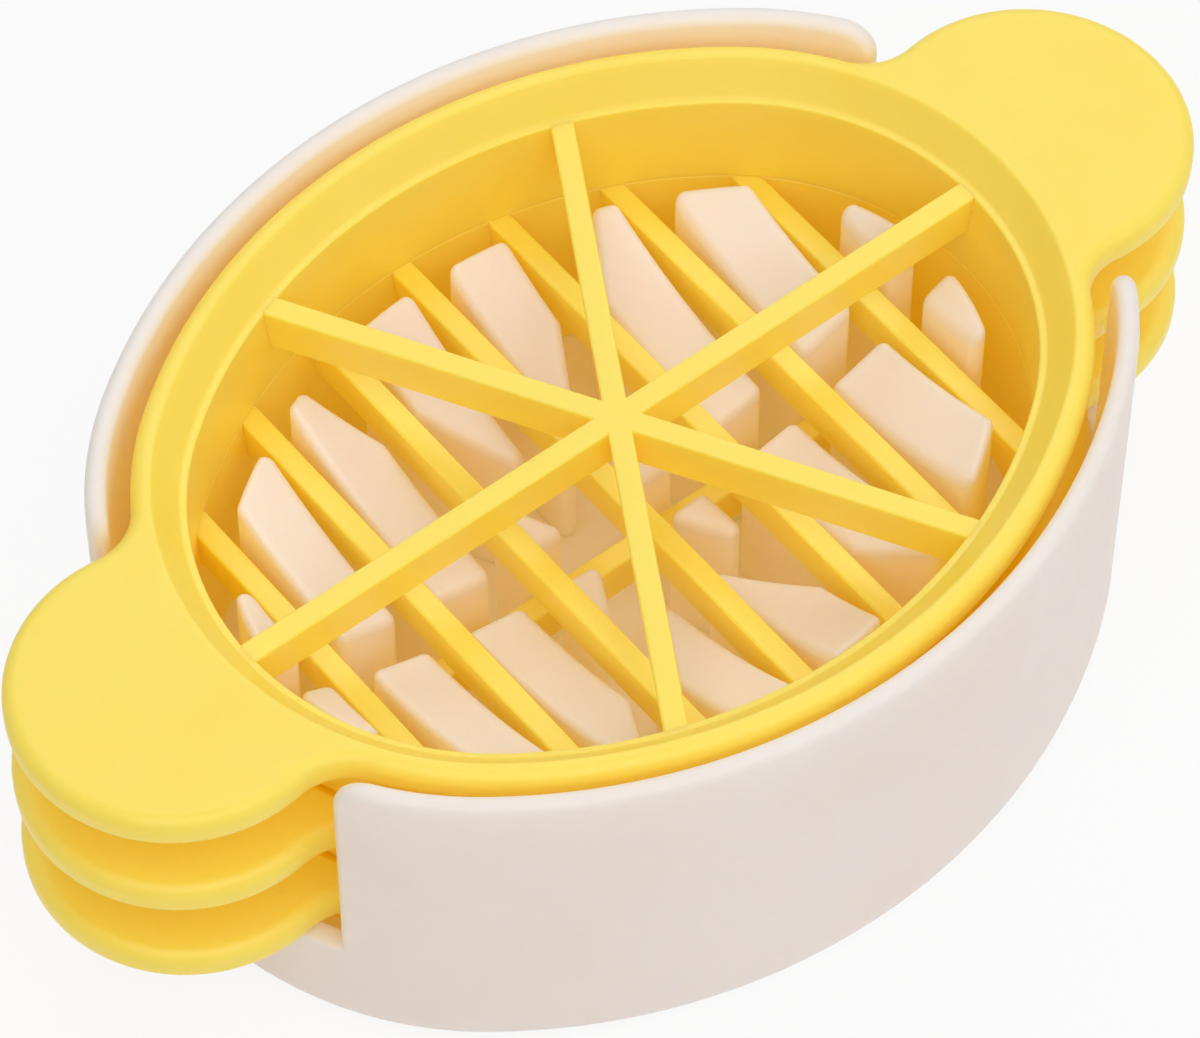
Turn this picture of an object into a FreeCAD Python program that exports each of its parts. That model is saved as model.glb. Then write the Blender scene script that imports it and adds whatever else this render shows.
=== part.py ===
import FreeCAD, Part
import math
import os

V = FreeCAD.Vector
UP = V(0, 0, 1)

# An egg slicer of four plastic mouldings: a bowl with a cradle of upright blocks, and three oval
# cutting frames stacked in it, each with an ear at both ends to lift it by.
# +X runs along the ears, +Z is up, and the origin is under the middle of the bowl, on the table.
# All lengths are in millimetres.

# Ovals are four tangent arcs: each end arc turns by this angle, in degrees, to both sides of the X axis
oval_end_angle = 52.0

# Egg opening of each frame
opening_length = 72.0
opening_width = 56.4

# Rim of a frame: a funnel round the opening, a rounded edge and a skirt below
stack_pitch = 9.55
rim_reach = 4.3
rim_thickness = 3.2
rim_edge_round = 1.2
crest_land = 0.4
land_width = 0.6
land_height = 0.5
skirt_thickness = 1.6
skirt_seat_width = 0.35
skirt_chamfer_rise = 1.8

# Ear at each end of a rim
ear_radius = 13.2
ear_reach = 15.6
ear_neck_radius = 5.0

# Cutting blades moulded across the openings
blade_width = 2.0
blade_edge_width = 1.0
blade_depth = 4.8
slicing_blade_count = 7
end_slice_share = 0.85
wedge_angle = 60.0

# Bowl
wall_thickness = 1.7
floor_thickness = 2.2
bowl_foot_round = 3.5
wall_proud = 0.8
wall_edge_round = 0.8
notch_corner_round = 3.0

# Cradle: upright blocks with a dished top that the egg lies in
cradle_height = 14.2
cradle_long_radius = 65.0
cradle_cross_radius = 44.0
block_side_round = 1.0
# A cell between the grooves with a plan smaller than this, in square millimetres, gets no block
smallest_block_area = 9.0

# Clearances
skirt_floor_clearance = 0.35
rim_side_clearance = 1.2
rim_end_clearance = 2.0
ear_notch_clearance = 1.8
blade_groove_clearance = 0.85
block_rim_clearance = 2.7

# Sizes that follow from the ones above
half_opening_length = opening_length / 2
half_opening_width = opening_width / 2
skirt_depth = stack_pitch - land_height
first_seat = floor_thickness + skirt_floor_clearance + skirt_depth
halving_seat = first_seat
slicing_seat = first_seat + stack_pitch
wedge_seat = first_seat + 2 * stack_pitch
bowl_height = wedge_seat + rim_thickness + wall_proud
half_bowl_length = half_opening_length + rim_reach + rim_end_clearance + wall_thickness
half_bowl_width = half_opening_width + rim_reach + rim_side_clearance + wall_thickness
slicing_pitch = opening_length / (slicing_blade_count - 1 + 2 * end_slice_share)
first_slice = -slicing_pitch * (slicing_blade_count - 1) / 2
slicing_places = [first_slice + slicing_pitch * index for index in range(slicing_blade_count)]
groove_width = blade_width + 2 * blade_groove_clearance
crest_inner = rim_reach - rim_edge_round - crest_land
ear_centre = half_opening_length + rim_reach + ear_reach - ear_radius
half_notch = ear_radius + ear_notch_clearance
# The brim's rounding stops short of the middle of the wall
brim_round = min(wall_edge_round, 0.475 * wall_thickness)
blade_run = opening_length
cut_margin = 1.0


def rounded_outline(corners, place):
    """Wire through corners (u, v, radius), each rounded by its radius and placed in space."""
    edges = []
    ends = []
    for index, (u, v, radius) in enumerate(corners):
        corner = V(u, v, 0)
        before = V(corners[index - 1][0], corners[index - 1][1], 0)
        after = V(corners[(index + 1) % len(corners)][0], corners[(index + 1) % len(corners)][1], 0)
        if radius == 0:
            ends.append((corner, corner))
            continue
        back = (before - corner).normalize()
        ahead = (after - corner).normalize()
        half_angle = back.getAngle(ahead) / 2
        tangent = radius / math.tan(half_angle)
        middle = corner + (back + ahead).normalize() * (radius / math.sin(half_angle) - radius)
        start = corner + back * tangent
        end = corner + ahead * tangent
        ends.append((start, end))
        edges.append(Part.Arc(place(start), place(middle), place(end)).toShape())
    for index, (start, _) in enumerate(ends):
        previous_end = ends[index - 1][1]
        if previous_end.distanceToPoint(start) > 1e-6:
            edges.append(Part.makeLine(place(previous_end), place(start)))
    return Part.Wire(Part.__sortEdges__(edges))


def oval_arcs(half_length, half_width):
    """The four tangent arcs of an oval, as (centre x, centre y, radius, start, sweep) in degrees."""
    turn = oval_end_angle
    slope = math.tan(math.radians(turn))
    end_centre = (half_length - half_width) / (1 + slope - 1 / math.cos(math.radians(turn)))
    side_centre = end_centre * slope
    end_radius = half_length - end_centre
    side_radius = half_width + side_centre
    return [
        (end_centre, 0, end_radius, -turn, 2 * turn),
        (0, -side_centre, side_radius, turn, 180 - 2 * turn),
        (-end_centre, 0, end_radius, 180 - turn, 2 * turn),
        (0, side_centre, side_radius, 180 + turn, 180 - 2 * turn),
    ]


def oval_prism(half_length, half_width, bottom, top):
    """Upright solid with an oval outline."""
    edges = []
    for x, y, radius, start, sweep in oval_arcs(half_length, half_width):
        edges.append(Part.makeCircle(radius, V(x, y, bottom), UP, start, start + sweep))
    return Part.Face(Part.Wire(edges)).extrude(UP * (top - bottom))


def opening_prism(offset, bottom, top):
    """Upright solid with the outline of the egg opening, moved outwards by offset."""
    return oval_prism(half_opening_length + offset, half_opening_width + offset, bottom, top)


def oval_ring(corners):
    """Ring round the egg opening, from a section of corners (distance outwards, height, radius)."""
    sectors = []
    for x, y, radius, start, sweep in oval_arcs(half_opening_length, half_opening_width):
        axis = V(x, y, 0)
        outwards = V(math.cos(math.radians(start)), math.sin(math.radians(start)), 0)

        def place(point):
            return axis + outwards * (radius + point.x) + UP * point.y

        section = Part.Face(rounded_outline(corners, place))
        sectors.append(section.revolve(axis, UP, sweep))
    return sectors[0].fuse(sectors[1:]).removeSplitter()


def rim_section(seat):
    """Section of a rim: funnel, crest, rounded edge and a skirt that stands on the rim below."""
    skirt_bottom = seat + land_height - stack_pitch
    land = seat + land_height
    crest = seat + rim_thickness
    return [
        (0, land, 0),
        (land_width, land, 0),
        (crest_inner, crest, 0),
        (rim_reach, crest, rim_edge_round),
        (rim_reach, seat, rim_edge_round),
        (skirt_thickness, seat, 0),
        (skirt_thickness, skirt_bottom + skirt_chamfer_rise, 0),
        (skirt_seat_width, skirt_bottom, 0),
        (0, skirt_bottom, 0),
    ]


def ear_tab(seat):
    """Round ear at the +X end, with necks that run into the rim's edge, rounded all round."""
    rim_centre, _, end_radius, _, _ = oval_arcs(half_opening_length, half_opening_width)[0]
    rim_radius = end_radius + rim_reach
    to_rim = rim_radius + ear_neck_radius
    to_ear = ear_radius + ear_neck_radius
    apart = ear_centre - rim_centre
    neck_x = (to_rim ** 2 - to_ear ** 2 + apart ** 2) / (2 * apart)
    neck_y = math.sqrt(to_rim ** 2 - neck_x ** 2)
    rim_middle = V(rim_centre, 0, seat)
    ear_middle = V(ear_centre, 0, seat)
    inner_radius = end_radius + crest_inner + crest_land / 2

    def neck(side):
        middle = rim_middle + V(neck_x, side * neck_y, 0)
        at_rim = rim_middle + (middle - rim_middle).normalize() * rim_radius
        at_ear = ear_middle + (middle - ear_middle).normalize() * ear_radius
        deepest = middle + ((at_rim + at_ear) / 2 - middle).normalize() * ear_neck_radius
        inside = rim_middle + (middle - rim_middle).normalize() * inner_radius
        return at_rim, deepest, at_ear, inside

    far_rim, far_neck, far_ear, far_inside = neck(1)
    near_rim, near_neck, near_ear, near_inside = neck(-1)
    outer = [
        Part.Arc(near_rim, near_neck, near_ear).toShape(),
        Part.Arc(near_ear, ear_middle + V(ear_radius, 0, 0), far_ear).toShape(),
        Part.Arc(far_ear, far_neck, far_rim).toShape(),
    ]
    inner = [
        Part.makeLine(far_rim, far_inside),
        Part.Arc(far_inside, rim_middle + V(inner_radius, 0, 0), near_inside).toShape(),
        Part.makeLine(near_inside, near_rim),
    ]
    tab = Part.Face(Part.Wire(outer + inner)).extrude(UP * rim_thickness)
    reach = rim_middle.x + inner_radius
    edges = []
    for edge in tab.Edges:
        middle = edge.valueAt((edge.FirstParameter + edge.LastParameter) / 2)
        flat = abs(edge.tangentAt(edge.FirstParameter).z) < 0.5
        if flat and edge.Curve.TypeId == "Part::GeomCircle" and middle.x > reach - cut_margin \
                and abs(edge.Curve.Radius - inner_radius) > 1e-6:
            edges.append(edge)
    return tab.makeFillet(rim_edge_round, edges)


def frame_rim(seat):
    """Rim of a cutting frame with an ear at both ends."""
    right_ear = ear_tab(seat)
    left_ear = right_ear.copy()
    left_ear.rotate(V(0, 0, 0), UP, 180)
    return oval_ring(rim_section(seat)).fuse([right_ear, left_ear]).removeSplitter()


def blade_bar(seat, start):
    """Tapered bar along +X from start, level with the land of its frame on top."""
    top = seat + land_height
    bottom = top - blade_depth
    corners = [
        (-blade_width / 2, top, 0),
        (blade_width / 2, top, 0),
        (blade_edge_width / 2, bottom, 0),
        (-blade_edge_width / 2, bottom, 0),
    ]
    wire = rounded_outline(corners, lambda point: V(start, point.x, point.y))
    return Part.Face(wire).extrude(V(blade_run - start, 0, 0))


def inside_opening(bar, seat):
    """The part of a bar inside the egg opening, ending on the skirt's inner face."""
    top = seat + land_height
    return bar.common(opening_prism(0, top - skirt_depth, top + cut_margin)).removeSplitter()


def long_blade(seat):
    """Blade across the whole opening along X."""
    return inside_opening(blade_bar(seat, -blade_run), seat)


def slicing_blades(seat):
    """Parallel blades across the opening along Y."""
    blades = {}
    for index, place in enumerate(slicing_places):
        bar = blade_bar(seat, -blade_run)
        bar.rotate(V(0, 0, 0), UP, 90)
        bar.translate(V(place, 0, 0))
        blades["slicing_blade_%d" % (index + 1)] = inside_opening(bar, seat)
    return blades


def wedge_blades(seat):
    """Six spokes: one blade along X and four half blades that meet on it."""
    whole = long_blade(seat)
    blades = {"wedge_blade_long": whole}
    height = 2 * (stack_pitch + blade_depth)
    spokes = {
        "wedge_blade_far_right": (wedge_angle, 0),
        "wedge_blade_far_left": (180 - wedge_angle, -blade_run),
        "wedge_blade_near_left": (180 + wedge_angle, -blade_run),
        "wedge_blade_near_right": (-wedge_angle, 0),
    }
    for name, (angle, side_start) in spokes.items():
        bar = blade_bar(seat, 0)
        bar.rotate(V(0, 0, 0), UP, angle)
        near_start = -blade_run if "near" in name else 0
        corner = V(side_start, near_start, seat - height / 2)
        quarter = Part.makeBox(blade_run, blade_run, height, corner)
        blades[name] = inside_opening(bar.common(quarter).cut(whole), seat)
    return blades


def notch_cutter():
    """Slot for the ears through both ends of the wall, with rounded corners at the wall's top."""
    flare = half_notch + notch_corner_round
    above = bowl_height + cut_margin
    start = -half_bowl_length - cut_margin
    round_start = bowl_height - notch_corner_round
    slope = notch_corner_round * (1 - math.sqrt(0.5))

    def at(y, z):
        return V(start, y, z)

    edges = [
        Part.makeLine(at(-half_notch, first_seat), at(half_notch, first_seat)),
        Part.makeLine(at(half_notch, first_seat), at(half_notch, round_start)),
        Part.Arc(at(half_notch, round_start), at(half_notch + slope, bowl_height - slope),
                 at(flare, bowl_height)).toShape(),
        Part.makeLine(at(flare, bowl_height), at(flare, above)),
        Part.makeLine(at(flare, above), at(-flare, above)),
        Part.makeLine(at(-flare, above), at(-flare, bowl_height)),
        Part.Arc(at(-flare, bowl_height), at(-half_notch - slope, bowl_height - slope),
                 at(-half_notch, round_start)).toShape(),
        Part.makeLine(at(-half_notch, round_start), at(-half_notch, first_seat)),
    ]
    return Part.Face(Part.Wire(edges)).extrude(V(2 * (half_bowl_length + cut_margin), 0, 0))


def base_bowl():
    """Oval bowl with a rounded foot and a rounded brim, notched at both ends for the ears."""
    outer = oval_prism(half_bowl_length, half_bowl_width, 0, bowl_height)
    foot = [edge for edge in outer.Edges if edge.BoundBox.ZMax < cut_margin]
    outer = outer.makeFillet(bowl_foot_round, foot)
    inner = oval_prism(half_bowl_length - wall_thickness, half_bowl_width - wall_thickness,
                       floor_thickness, bowl_height + cut_margin)
    corner = [edge for edge in inner.Edges if edge.BoundBox.ZMax < floor_thickness + cut_margin]
    inner = inner.makeFillet(bowl_foot_round - wall_thickness, corner)
    bowl = outer.cut(inner).cut(notch_cutter())
    brim = []
    for edge in bowl.Edges:
        upright = abs(edge.tangentAt((edge.FirstParameter + edge.LastParameter) / 2).z) > 0.99
        beside_notch = abs(edge.CenterOfMass.y) < half_notch + 1e-6
        if edge.BoundBox.ZMax > first_seat + cut_margin and (beside_notch or not upright):
            brim.append(edge)
    return bowl.makeFillet(brim_round, brim).removeSplitter()


def groove(angle, shift):
    """Straight cut through the cradle, wide enough for a blade."""
    height = bowl_height - floor_thickness + 2 * cut_margin
    box = Part.makeBox(2 * blade_run, groove_width, height,
                       V(-blade_run, -groove_width / 2, floor_thickness - cut_margin))
    box.rotate(V(0, 0, 0), UP, angle)
    box.translate(V(shift, 0, 0))
    return box


def egg_dish():
    """Lemon-shaped solid that hollows the tops of the blocks to hold the egg."""
    low = floor_thickness + cradle_height
    axis = low + cradle_cross_radius
    half_length = math.sqrt(cradle_long_radius ** 2 - (cradle_long_radius - cradle_cross_radius) ** 2)
    arc = Part.Arc(V(-half_length, 0, axis), V(0, 0, low), V(half_length, 0, axis)).toShape()
    close = Part.makeLine(V(half_length, 0, axis), V(-half_length, 0, axis))
    return Part.Face(Part.Wire([arc, close])).revolve(V(0, 0, axis), V(1, 0, 0), 360)


def cradle_blocks():
    """Upright blocks on the floor, parted by the grooves that the blades sink into."""
    body = opening_prism(-block_rim_clearance, floor_thickness, bowl_height)
    grooves = [groove(angle, 0) for angle in (0, wedge_angle, -wedge_angle)]
    grooves += [groove(90, shift) for shift in slicing_places]
    dish = egg_dish()
    blocks = []
    for piece in body.cut(grooves).Solids:
        outline = [face for face in piece.Faces if face.BoundBox.ZMax < floor_thickness + 1e-6][0]
        if outline.Area < smallest_block_area:
            continue
        rounded = outline.OuterWire.makeOffset2D(-block_side_round).makeOffset2D(block_side_round)
        upright = Part.Face(Part.Wire(rounded.Edges)).extrude(UP * (bowl_height - floor_thickness))
        blocks.extend(upright.cut(dish).Solids)
    blocks.sort(key=lambda block: (round(block.CenterOfMass.x, 1), -block.CenterOfMass.y))
    return {"cradle_block_%02d" % (index + 1): block for index, block in enumerate(blocks)}


def all_nodes():
    """Every named piece of the slicer."""
    nodes = {"base_bowl": base_bowl()}
    nodes.update(cradle_blocks())
    nodes["halving_rim"] = frame_rim(halving_seat)
    nodes["halving_blade"] = long_blade(halving_seat)
    nodes["slicing_rim"] = frame_rim(slicing_seat)
    nodes.update(slicing_blades(slicing_seat))
    nodes["wedge_rim"] = frame_rim(wedge_seat)
    nodes.update(wedge_blades(wedge_seat))
    return nodes


if __name__ == "__main__":
    os.makedirs("parts", exist_ok=True)
    for name, shape in all_nodes().items():
        if len(shape.Solids) != 1 or not shape.isValid():
            raise ValueError("%s is not one valid solid" % name)
        shape.Solids[0].exportStep("parts/%s.step" % name)
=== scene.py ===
"""Looks, stage and camera of an egg slicer with three cutting frames that lift off a bowl."""
import math

import bpy
from bpy.props import FloatProperty, FloatVectorProperty, IntProperty, PointerProperty
from bpy.types import Operator, Panel, PropertyGroup
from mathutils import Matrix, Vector


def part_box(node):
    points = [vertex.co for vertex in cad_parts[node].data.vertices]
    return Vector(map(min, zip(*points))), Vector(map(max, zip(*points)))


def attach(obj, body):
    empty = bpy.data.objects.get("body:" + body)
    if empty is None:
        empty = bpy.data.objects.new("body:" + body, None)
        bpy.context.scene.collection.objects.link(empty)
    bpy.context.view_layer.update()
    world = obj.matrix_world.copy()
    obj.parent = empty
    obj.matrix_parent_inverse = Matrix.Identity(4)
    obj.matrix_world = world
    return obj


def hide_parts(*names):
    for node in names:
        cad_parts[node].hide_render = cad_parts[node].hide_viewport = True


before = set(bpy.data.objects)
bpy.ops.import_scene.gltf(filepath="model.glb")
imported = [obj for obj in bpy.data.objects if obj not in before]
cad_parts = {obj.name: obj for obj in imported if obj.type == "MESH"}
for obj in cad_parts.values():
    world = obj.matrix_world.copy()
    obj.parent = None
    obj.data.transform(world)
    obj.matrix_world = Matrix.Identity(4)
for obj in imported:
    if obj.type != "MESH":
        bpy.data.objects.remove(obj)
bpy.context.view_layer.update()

bl_info = {
    "name": "Egg slicer",
    "version": (1, 0, 0),
    "blender": (4, 5, 0),
    "location": "3D View > Sidebar > Egg slicer",
    "description": "Builds a bowl with an egg cradle and three stacked cutting frames",
    "category": "Object",
}

RIM_NODES = {"halving_frame": "halving_rim", "slicing_frame": "slicing_rim", "wedge_frame": "wedge_rim"}
BOWL_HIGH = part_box("base_bowl")[1]
RIM_LOW, RIM_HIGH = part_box("wedge_rim")

# Small distances in metres that part surfaces, overlap them or hold a rounding in shape
HAIR = 0.00002
BLOCK_SINK = 0.0003
FLOOR_LAP = 0.001
SUPPORT = 0.0003

# Distances in metres between the points of a mesh
EAR_SPACING = 0.0004
NECK_SPACING = 0.0003
END_SPACING = 0.0005
SIDE_SPACING = 0.0006
BLOCK_SPACING = 0.0007

# Counts of the points and steps of a mesh
EDGE_STEPS = 8
BLOCK_EDGE_STEPS = 7
WALL_COLUMNS = 220
NOTCH_COLUMNS = 64
BRIM_STEPS = 16
PLAN_POINTS = 1440
FLOOR_POINTS = 180

# Rows of points over a flat, as shares of the way across it
RIM_FLAT = (0.15, 0.4, 0.7, 0.93)
BOWL_FLAT = (0.7, 0.4, 0.12)
BLOCK_FLAT = (0.9, 0.7, 0.5, 0.3, 0.12)

# Edges that turn by more than this stay sharp
SHELL_CREASE = math.radians(40)
BLADE_CREASE = math.radians(24)
BLOCK_CREASE = math.radians(50)


def linear(red, green, blue):
    """Colour for a socket from 0 to 255 display values."""
    def channel(value):
        share = value / 255
        return share / 12.92 if share <= 0.04045 else ((share + 0.055) / 1.055) ** 2.4

    return (channel(red), channel(green), channel(blue), 1.0)


def measured(name, description, metres):
    """A length in the sidebar, with its default in metres."""
    return FloatProperty(name=name, description=description, default=metres, unit="LENGTH", precision=5)


def length(name, description, millimetres):
    """A length in the sidebar, with its default in millimetres."""
    return measured(name, description, millimetres / 1000)


def spot(name, description, metres):
    """A place in the sidebar, with its default in metres."""
    return FloatVectorProperty(name=name, description=description, default=metres, size=3,
                               subtype="TRANSLATION")


def power(name, description, watts):
    """A lamp's power in the sidebar."""
    return FloatProperty(name=name, description=description, default=watts, unit="POWER")


def colour(name, description, display):
    """A colour in the sidebar, with its default in display values."""
    return FloatVectorProperty(name=name, description=description, default=linear(*display), size=4,
                               subtype="COLOR", min=0, max=1)


class RimSizes(PropertyGroup):
    """Rim of a cutting frame, the same on all three."""
    opening_length: length("Opening length", "Length of the egg opening", 72.0)
    opening_width: length("Opening width", "Width of the egg opening", 56.4)
    end_angle: FloatProperty(name="End angle", description="Turn of the ovals' end arcs to each side",
                             default=math.radians(52), subtype="ANGLE")
    reach: length("Rim reach", "Distance from the opening to the rim's outer edge", 4.3)
    thickness: length("Rim thickness", "Thickness of the rim's edge and ears", 3.2)
    edge_round: length("Edge rounding", "Radius along the outer edge", 1.2)
    crest_land: length("Crest land", "Flat between the funnel and the edge rounding", 0.4)
    crest_round: length("Crest rounding", "Radius between the funnel and the crest", 0.4)
    land_width: length("Land width", "Flat round the opening", 0.6)
    land_height: length("Land height", "Height of that flat over the rim's underside", 0.5)
    land_round: length("Land rounding", "Radius between that flat and the funnel", 0.3)
    lip_round: length("Lip rounding", "Radius along the opening", 0.2)
    skirt: length("Skirt thickness", "Thickness of the skirt below the rim", 1.6)
    skirt_seat: length("Skirt seat", "Flat at the skirt's lower edge", 0.35)
    seat_round: length("Seat rounding", "Radius along that flat", 0.1)
    skirt_chamfer: length("Skirt chamfer", "Height of the taper at the skirt's lower edge", 1.8)
    taper_round: length("Taper rounding", "Radius where the taper starts", 0.4)
    root_round: length("Root rounding", "Radius between the skirt and the rim's underside", 0.6)
    ear_radius: length("Ear radius", "Radius of the ears", 13.2)
    ear_tip: measured("Ear tip", "Distance from the middle to the end of an ear", RIM_HIGH[0])
    neck_radius: length("Neck radius", "Radius where an ear runs into the rim", 5.0)


class BladeSizes(PropertyGroup):
    """Cutting blades moulded across the openings."""
    width: length("Blade width", "Width at the top of a blade", 2.0)
    edge_width: length("Edge width", "Width at the cutting edge", 1.0)
    depth: length("Blade depth", "Height of a blade", 4.8)
    corner_round: length("Corner rounding", "Radius along the edges of a blade", 0.22)
    sink: length("Sink", "How far a blade's end reaches into the skirt", 1.1)
    count: IntProperty(name="Slicing blades", description="Parallel blades in the slicing frame",
                       default=7, min=2)
    end_share: FloatProperty(name="End slice", description="Outer slices as a share of the others",
                             default=0.85)
    wedge_angle: FloatProperty(name="Wedge angle", description="Angle between two spokes",
                               default=math.radians(60), subtype="ANGLE")


class BowlSizes(PropertyGroup):
    """Bowl with a notch at both ends."""
    half_length: measured("Half length", "From the middle to the wall's outside at an end", BOWL_HIGH[0])
    half_width: measured("Half width", "From the middle to the wall's outside at a side", BOWL_HIGH[1])
    height: measured("Height", "Height of the wall", BOWL_HIGH[2])
    wall: length("Wall", "Thickness of the wall", 1.7)
    floor: length("Floor", "Thickness of the floor", 2.2)
    foot_round: length("Foot rounding", "Radius between wall and underside", 3.5)
    foot_reach: length("Foot reach", "From the wall's outside to where the floor's flat rows start", 12.0)
    brim_round: length("Brim rounding", "Radius over the wall's top edge", 0.8)
    sill: length("Sill", "Height of the notch's lower edge", 11.6)
    half_notch: length("Half notch", "Half the width of the notch", 15.0)
    notch_round: length("Notch rounding", "Radius of the notch's upper corners", 3.0)


class CradleSizes(PropertyGroup):
    """Upright blocks with a dished top."""
    dish_low: length("Dish height", "Lowest point of the dished tops", 16.4)
    long_radius: length("Long radius", "Radius of the dish along the bowl", 65.0)
    cross_radius: length("Cross radius", "Radius of the dish across the bowl", 44.0)
    groove: length("Groove", "Width of the grooves between blocks", 3.7)
    end_gap: length("End gap", "Gap between the blocks and the skirts at the bowl's ends", 2.8)
    side_gap: length("Side gap", "Gap between the blocks and the skirts at the bowl's sides", 3.5)
    corner_round: length("Corner rounding", "Radius of the blocks' upright corners", 0.85)
    top_round: length("Top rounding", "How far the rounding of the top edges reaches down", 1.0)
    top_inset: length("Top inset", "How far the rounding of the top edges reaches in", 0.8)
    # Depth below the dish where the painted bounce light on the blocks' sides reaches full strength
    shelter_depth: length("Shelter depth", "How far below the dish a block's sides are fully sheltered", 3.0)
    smallest_plan: FloatProperty(name="Smallest plan", description="Cells smaller than this get no block",
                                 default=9.0e-6, unit="AREA", precision=7)


class Finishes(PropertyGroup):
    """Colours of the two plastics and of the glows painted on them."""
    yellow: colour("Yellow", "Yellow plastic", (253, 229, 101))
    # Painted glow: emission colour of the yellow plastic, standing in for light through it and lifting its
    # shade
    yellow_painted_glow: colour("Yellow glow", "Light that comes through the yellow plastic", (255, 188, 0))
    yellow_deep: colour("Deep yellow", "Denser flow marks in the yellow plastic", (252, 226, 92))
    white: colour("White", "White plastic", (246, 237, 232))
    # Painted glow: emission colour of the white plastic, standing in for light through it and lifting its
    # shade
    white_painted_glow: colour("White glow", "Light that comes through the white plastic", (116, 96, 70))
    # Painted bounce light: emission colour inside the bowl and on the blocks' sides, standing in for yellow
    # light from the frames
    painted_bounce_glow: colour("Shelter glow", "Yellow light that the frames throw into the bowl", (198, 158, 62))
    white_warm: colour("Warm white", "Denser flow marks in the white plastic", (245, 233, 227))


class StageSettings(PropertyGroup):
    """Floor, lamps and camera."""
    floor: colour("Floor", "Colour of the floor", (250, 250, 250))
    floor_mottle: colour("Floor mottle", "Faint marks on the floor", (247, 247, 247))
    floor_white: FloatProperty(name="Floor white", description="Share of plain white in the floor's looks",
                               default=0.85, min=0, max=1, subtype="FACTOR")
    reach: measured("Reach", "Radius of the floor", 3.0)
    lens: FloatProperty(name="Lens", description="Focal length in millimetres", default=180.0)
    camera: spot("Camera", "Place of the camera", (-0.174207, -0.216462, 0.4106))
    aim: spot("Aim", "Point at the middle of the picture", (-0.00507, -0.00421, 0.0262))
    sky: FloatProperty(name="Sky", description="Strength of the even light all round", default=0.3)
    key: power("Key lamp", "Power of the lamp over the near left", 2.9)
    key_place: spot("Key place", "Place of the lamp over the near left", (-0.326, -0.405, 0.729))
    fill: power("Fill lamp", "Power of the lamp in front", 1.45)
    fill_place: spot("Fill place", "Place of the lamp in front", (0.36, -0.54, 0.62))
    back: power("Back lamp", "Power of the lamp behind the bowl", 2.48)
    back_place: spot("Back place", "Place of the lamp behind the bowl", (0.324, 0.405, 0.736))
    lamp_aim: spot("Lamp aim", "Point that the lamps face", (0.0, 0.0, 0.02))
    lamp_side: measured("Lamp side", "Length of a soft box's sides", 0.8)


class SlicerSettings(PropertyGroup):
    """Everything that can be changed on the slicer."""
    rim: PointerProperty(type=RimSizes)
    blade: PointerProperty(type=BladeSizes)
    bowl: PointerProperty(type=BowlSizes)
    cradle: PointerProperty(type=CradleSizes)
    finish: PointerProperty(type=Finishes)
    stage: PointerProperty(type=StageSettings)


class Amount:
    """An output in a node tree; sums, products and comparisons with it add Math nodes."""

    def __init__(self, nodes, socket):
        self.nodes = nodes
        self.socket = socket

    def out(self, key):
        """Another output of the same node."""
        return Amount(self.nodes, self.socket.node.outputs[key])

    def math(self, operation, *values):
        return self.nodes.add("ShaderNodeMath", {"operation": operation}, dict(enumerate(values)))

    def __add__(self, other):
        return self.math("ADD", self, other)

    def __radd__(self, other):
        return self.math("ADD", other, self)

    def __sub__(self, other):
        return self.math("SUBTRACT", self, other)

    def __rsub__(self, other):
        return self.math("SUBTRACT", other, self)

    def __mul__(self, other):
        return self.math("MULTIPLY", self, other)

    def __rmul__(self, other):
        return self.math("MULTIPLY", other, self)

    def __truediv__(self, other):
        return self.math("DIVIDE", self, other)

    def __rtruediv__(self, other):
        return self.math("DIVIDE", other, self)

    def __gt__(self, other):
        return self.math("GREATER_THAN", self, other)

    def __abs__(self):
        return self.math("ABSOLUTE", self)

    def root(self):
        return self.math("SQRT", self)

    def largest(self, other):
        return self.math("MAXIMUM", self, other)


class Nodes:
    """Adds nodes to a tree and links them."""

    def __init__(self, tree):
        self.tree = tree

    def add(self, kind, settings=None, sockets=None):
        """A node's first output, after its settings and then the values or links of its sockets are set."""
        node = self.tree.nodes.new(kind)
        for key, value in (settings or {}).items():
            setattr(node, key, value)
        for key, value in (sockets or {}).items():
            if isinstance(value, Amount):
                self.tree.links.new(value.socket, node.inputs[key])
            else:
                node.inputs[key].default_value = value
        return Amount(self, node.outputs[0]) if node.outputs else None

    def shade(self, factor, first, second):
        """A colour that goes from the first to the second with the factor."""
        sockets = {0: factor, 6: tuple(first), 7: tuple(second)}
        return self.add("ShaderNodeMix", {"data_type": "RGBA"}, sockets).out(2)


def new_material(name):
    """An empty node material and the helper that fills it."""
    material = bpy.data.materials.new(name)
    material.use_nodes = True
    material.node_tree.nodes.clear()
    return material, Nodes(material.node_tree)


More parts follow.
